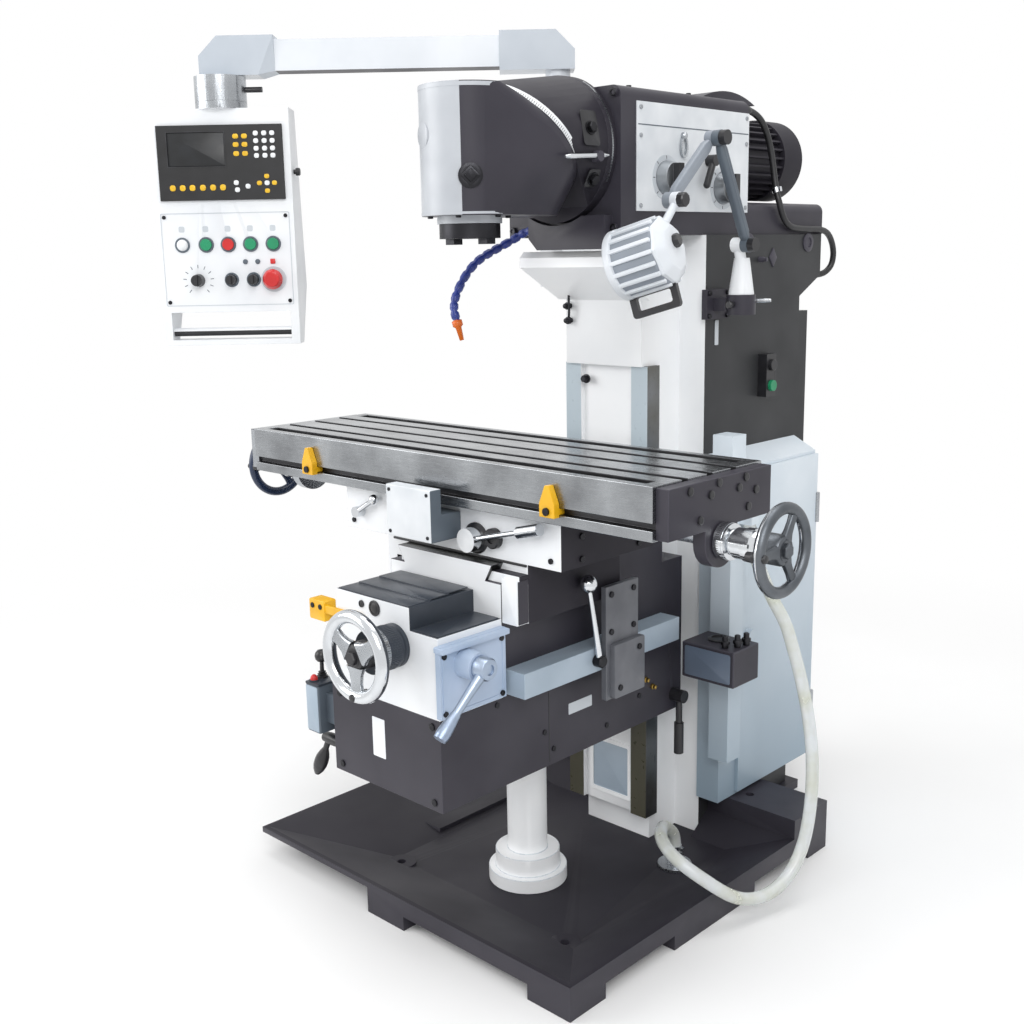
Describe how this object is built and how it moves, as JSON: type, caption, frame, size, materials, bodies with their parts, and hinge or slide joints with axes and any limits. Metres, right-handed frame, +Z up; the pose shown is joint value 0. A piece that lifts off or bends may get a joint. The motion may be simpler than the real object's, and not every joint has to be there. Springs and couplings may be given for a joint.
{
  "type": "universal milling machine",
  "caption": "Knee-type milling machine with a sliding ram, an obliquely split swivel head, a T-slotted table, a swinging control pendant and a work lamp.",
  "frame": {"origin": "centre of the foundation bolt pattern on the floor", "axes": "+Z up, +X to the operator's right, +Y to the back of the machine"},
  "size_m": [1.9429, 1.6852, 2.0653],
  "materials": {
    "dark_paint": "satin dark grey machine enamel",
    "white_paint": "satin white machine enamel",
    "blue_paint": "satin pale blue enamel",
    "grey_paint": "satin light grey enamel",
    "table_iron": "ground cast iron",
    "steel": "turned and ground steel",
    "chrome": "polished plating",
    "black_plastic": "moulded black plastic",
    "yellow_paint": "yellow enamel",
    "green_plastic": "moulded green plastic",
    "red_plastic": "moulded red plastic",
    "hose_clear": "milky clear hose",
    "pipe_blue": "moulded blue plastic"
  },
  "bodies": {
    "frame": {"base": "dark_paint", "column": "dark_paint", "elevating_pedestal": "dark_paint", "electrical_cabinet": "blue_paint", "cable_duct": "grey_paint", "oil_box": "dark_paint", "column_brackets": "dark_paint", "drain_cover": "grey_paint", "column_switch": "black_plastic", "coolant_hose": "hose_clear", "motor_cable": "black_plastic"},
    "knee": {"knee": "dark_paint", "feed_gearbox": "white_paint", "gearbox_side_plate": "blue_paint", "trip_rail": "grey_paint", "knee_switch_box": "grey_paint"},
    "saddle": {"saddle": "white_paint", "saddle_switch_box": "grey_paint"},
    "table": {"table": "table_iron", "table_end_brackets": "dark_paint", "trip_dogs": "yellow_paint"},
    "table_screw": {"table_leadscrew": "steel", "table_handwheels": "black_plastic"},
    "ram": {"ram": "dark_paint", "ram_side_panel": "white_paint", "drive_motor": "dark_paint", "coolant_pipe": "pipe_blue"},
    "pendant": {"pendant_box": "white_paint", "readout_unit": "grey_paint"},
    "cabinet_door": {"cabinet_door": "blue_paint"},
    "start_button": {"start_button": "green_plastic"},
    "stop_button": {"stop_button": "black_plastic"},
    "elevating_screw": {"elevating_screw": "steel"},
    "cross_handwheel": {"cross_handwheel": "black_plastic"},
    "elevating_crank": {"elevating_crank": "steel"},
    "vertical_feed_lever": {"vertical_feed_lever": "black_plastic"},
    "knee_clamp_lever": {"knee_clamp_lever": "black_plastic"},
    "trip_lever": {"trip_lever": "chrome"},
    "feed_joystick": {"feed_joystick": "black_plastic"},
    "table_feed_lever": {"table_feed_lever": "chrome"},
    "table_clamp_lever": {"table_clamp_lever": "black_plastic"},
    "speed_knob_front": {"speed_knob_front": "black_plastic"},
    "speed_knob_rear": {"speed_knob_rear": "black_plastic"},
    "ram_clamp_handle": {"ram_clamp_handle": "black_plastic"},
    "swivel_body": {"swivel_body": "dark_paint"},
    "spindle_head": {"spindle_head": "dark_paint"},
    "spindle": {"spindle": "steel"},
    "pendant_arm": {"pendant_arm": "white_paint"},
    "push_button_1": {"push_button_1": "green_plastic"},
    "push_button_2": {"push_button_2": "red_plastic"},
    "push_button_3": {"push_button_3": "green_plastic"},
    "push_button_4": {"push_button_4": "green_plastic"},
    "emergency_stop": {"emergency_stop": "red_plastic"},
    "feed_dial": {"feed_dial": "black_plastic"},
    "selector_left": {"selector_left": "black_plastic"},
    "selector_right": {"selector_right": "black_plastic"},
    "lamp_swivel": {"lamp_swivel": "white_paint"},
    "lamp_lower_arm": {"lamp_lower_arm": "grey_paint"},
    "lamp_upper_arm": {"lamp_upper_arm": "white_paint"},
    "lamp_head": {"lamp_head": "white_paint"}
  },
  "joints": [
    {"name": "knee_lift", "type": "slide", "parent": "frame", "child": "knee", "axis": [0, 0, 1], "range_m": [-0.23, 0.14]},
    {"name": "cross_slide", "type": "slide", "parent": "knee", "child": "saddle", "axis": [0, 1, 0], "range_m": [-0.16, 0.15]},
    {"name": "table_slide", "type": "slide", "parent": "saddle", "child": "table", "axis": [1, 0, 0], "range_m": [-0.19, 0.31]},
    {"name": "table_screw_turn", "type": "hinge", "parent": "table", "child": "table_screw", "pos_m": [0, -0.257, 0.968], "axis": [1, 0, 0], "continuous": true},
    {"name": "elevating_crank_turn", "type": "hinge", "parent": "knee", "child": "elevating_crank", "pos_m": [0.232, -0.564, 0.711], "axis": [1, 0, 0], "continuous": true},
    {"name": "elevating_screw_turn", "type": "hinge", "parent": "knee", "child": "elevating_screw", "pos_m": [0, -0.191, 0.7], "axis": [0, 0, 1], "continuous": true},
    {"name": "cross_handwheel_turn", "type": "hinge", "parent": "knee", "child": "cross_handwheel", "pos_m": [0.045, -0.622, 0.732], "axis": [0, 1, 0], "continuous": true},
    {"name": "vertical_feed_lever_swing", "type": "hinge", "parent": "knee", "child": "vertical_feed_lever", "pos_m": [-0.174, -0.575, 0.431], "axis": [1, 0, 0], "range_deg": [-25, 25]},
    {"name": "knee_clamp_lever_swing", "type": "hinge", "parent": "knee", "child": "knee_clamp_lever", "pos_m": [0.174, 0.157, 0.437], "axis": [1, 0, 0], "range_deg": [-30, 30]},
    {"name": "trip_lever_swing", "type": "hinge", "parent": "knee", "child": "trip_lever", "pos_m": [0.23, -0.203, 0.631], "axis": [1, 0, 0], "range_deg": [-15, 15]},
    {"name": "feed_joystick_tilt", "type": "hinge", "parent": "knee", "child": "feed_joystick", "pos_m": [-0.2034, -0.575, 0.577], "axis": [1, 0, 0], "range_deg": [-12, 12]},
    {"name": "table_feed_lever_swing", "type": "hinge", "parent": "saddle", "child": "table_feed_lever", "pos_m": [0.072, -0.407, 0.922], "axis": [0, 1, 0], "range_deg": [0, 25]},
    {"name": "table_clamp_lever_swing", "type": "hinge", "parent": "saddle", "child": "table_clamp_lever", "pos_m": [-0.311, -0.407, 0.93], "axis": [0, 1, 0], "range_deg": [0, 60]},
    {"name": "ram_slide", "type": "slide", "parent": "frame", "child": "ram", "axis": [0, 1, 0], "range_m": [-0.2, 0.25], "deforming": ["motor_cable"]},
    {"name": "speed_knob_front_turn", "type": "hinge", "parent": "ram", "child": "speed_knob_front", "pos_m": [0.172, 0.11764, 1.6723], "axis": [1, 0, 0], "range_deg": [-120, 120]},
    {"name": "speed_knob_rear_turn", "type": "hinge", "parent": "ram", "child": "speed_knob_rear", "pos_m": [0.172, 0.34, 1.6553], "axis": [1, 0, 0], "range_deg": [-120, 120]},
    {"name": "ram_clamp_handle_turn", "type": "hinge", "parent": "ram", "child": "ram_clamp_handle", "pos_m": [0.172, 0.27896, 1.7153], "axis": [1, 0, 0], "range_deg": [-30, 30]},
    {"name": "head_swivel", "type": "hinge", "parent": "ram", "child": "swivel_body", "pos_m": [0, -0.039, 1.7353], "axis": [0, 1, 0], "range_deg": [-90, 90]},
    {"name": "oblique_swivel", "type": "hinge", "parent": "swivel_body", "child": "spindle_head", "pos_m": [0, -0.199, 1.7423], "axis": [0, -0.7071, -0.7071], "range_deg": [-180, 120]},
    {"name": "spindle_turn", "type": "hinge", "parent": "spindle_head", "child": "spindle", "pos_m": [0, -0.334, 1.545], "axis": [0, 0, 1], "continuous": true},
    {"name": "pendant_arm_swing", "type": "hinge", "parent": "frame", "child": "pendant_arm", "pos_m": [-0.315, 0.303, 1.544], "axis": [0, 0, 1], "range_deg": [-60, 40]},
    {"name": "pendant_turn", "type": "hinge", "parent": "pendant_arm", "child": "pendant", "pos_m": [-0.94226, -0.30274, 1.8893], "axis": [0, 0, 1], "range_deg": [-90, 90]},
    {"name": "push_button_1_press", "type": "slide", "parent": "pendant", "child": "push_button_1", "axis": [-0.6947, 0.7193, 0], "range_m": [0, 0.005], "stiffness_N_per_m": 400},
    {"name": "push_button_2_press", "type": "slide", "parent": "pendant", "child": "push_button_2", "axis": [-0.6947, 0.7193, 0], "range_m": [0, 0.005], "stiffness_N_per_m": 400},
    {"name": "push_button_3_press", "type": "slide", "parent": "pendant", "child": "push_button_3", "axis": [-0.6947, 0.7193, 0], "range_m": [0, 0.005], "stiffness_N_per_m": 400},
    {"name": "push_button_4_press", "type": "slide", "parent": "pendant", "child": "push_button_4", "axis": [-0.6947, 0.7193, 0], "range_m": [0, 0.005], "stiffness_N_per_m": 400},
    {"name": "emergency_stop_press", "type": "slide", "parent": "pendant", "child": "emergency_stop", "axis": [-0.6947, 0.7193, 0], "range_m": [0, 0.006], "stiffness_N_per_m": 400},
    {"name": "feed_dial_turn", "type": "hinge", "parent": "pendant", "child": "feed_dial", "pos_m": [-0.96712, -0.3907, 1.4583], "axis": [0.6947, -0.7193, 0], "range_deg": [-150, 150]},
    {"name": "selector_left_turn", "type": "hinge", "parent": "pendant", "child": "selector_left", "pos_m": [-0.90463, -0.33034, 1.4583], "axis": [0.6947, -0.7193, 0], "range_deg": [-45, 45]},
    {"name": "selector_right_turn", "type": "hinge", "parent": "pendant", "child": "selector_right", "pos_m": [-0.86305, -0.29019, 1.4583], "axis": [0.6947, -0.7193, 0], "range_deg": [-45, 45]},
    {"name": "start_button_press", "type": "slide", "parent": "frame", "child": "start_button", "axis": [-1, 0, 0], "range_m": [0, 0.005], "stiffness_N_per_m": 400},
    {"name": "stop_button_press", "type": "slide", "parent": "frame", "child": "stop_button", "axis": [-1, 0, 0], "range_m": [0, 0.005], "stiffness_N_per_m": 400},
    {"name": "cabinet_door_swing", "type": "hinge", "parent": "frame", "child": "cabinet_door", "pos_m": [0.254, 0.685, 0.56], "axis": [0, 0, 1], "range_deg": [0, 110]},
    {"name": "lamp_swivel_turn", "type": "hinge", "parent": "frame", "child": "lamp_swivel", "pos_m": [0.258, 0.298, 1.408], "axis": [0, 0, 1], "range_deg": [0, 80]},
    {"name": "lamp_lower_arm_swing", "type": "hinge", "parent": "lamp_swivel", "child": "lamp_lower_arm", "pos_m": [0.271, 0.283, 1.522], "axis": [1, 0, 0], "range_deg": [-20, 12]},
    {"name": "lamp_upper_arm_swing", "type": "hinge", "parent": "lamp_lower_arm", "child": "lamp_upper_arm", "pos_m": [0.271, 0.163, 1.753], "axis": [1, 0, 0], "range_deg": [-20, 15]},
    {"name": "lamp_head_tilt", "type": "hinge", "parent": "lamp_upper_arm", "child": "lamp_head", "pos_m": [0.271, 0.011, 1.618], "axis": [1, 0, 0], "range_deg": [-20, 20]}
  ],
  "couplings": [
    {"joint": "elevating_screw_turn", "follows": "elevating_crank_turn", "ratio": 0.5}
  ]
}
